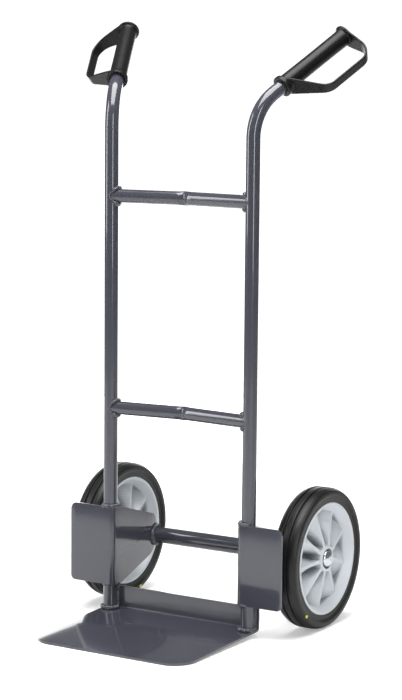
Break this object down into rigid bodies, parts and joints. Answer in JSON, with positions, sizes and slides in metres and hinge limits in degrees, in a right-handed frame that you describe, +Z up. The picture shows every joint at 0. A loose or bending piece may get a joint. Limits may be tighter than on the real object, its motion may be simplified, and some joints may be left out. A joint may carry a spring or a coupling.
{
  "type": "hand truck",
  "caption": "Upright steel-tube sack truck with a bent toe plate, side plates, solid-rubber wheels on a fixed axle and splayed handles with knuckle guards.",
  "frame": {"origin": "on the floor, at the centre of the whole truck's box", "axes": "+Z up; the load side and toe plate face -Y; the axle runs along X"},
  "size_m": [0.5604, 0.4857, 1.0577],
  "materials": {
    "frame_paint": "glossy dark blue-grey powder coat",
    "handle_plastic": "semi-matt black moulded plastic",
    "tyre": "black solid rubber, satin",
    "rim_plastic": "light grey moulded plastic, satin",
    "bush_plastic": "black bearing plastic",
    "zinc": "bright zinc plate",
    "bright_steel": "turned bar"
  },
  "bodies": {
    "frame": {"upright_left": "frame_paint", "upright_right": "frame_paint", "side_plate_left": "frame_paint", "side_plate_right": "frame_paint", "handle_left": "handle_plastic", "handle_right": "handle_plastic", "inner_washer_left": "zinc", "inner_washer_right": "zinc", "outer_washer_left": "zinc", "outer_washer_right": "zinc", "cap_left": "zinc", "cap_right": "zinc", "rung_lower": "frame_paint", "rung_upper": "frame_paint", "toe_plate": "frame_paint", "axle_tube": "frame_paint", "axle_shaft": "bright_steel"},
    "wheel_left": {"tyre_left": "tyre", "rim_left": "rim_plastic", "bush_left": "bush_plastic"},
    "wheel_right": {"tyre_right": "tyre", "rim_right": "rim_plastic", "bush_right": "bush_plastic"}
  },
  "joints": [
    {"name": "wheel_left_spin", "type": "hinge", "parent": "frame", "child": "wheel_left", "pos_m": [-0.208, 0.11775, 0.125], "axis": [1, 0, 0], "continuous": true},
    {"name": "wheel_right_spin", "type": "hinge", "parent": "frame", "child": "wheel_right", "pos_m": [0.208, 0.11775, 0.125], "axis": [1, 0, 0], "continuous": true}
  ]
}
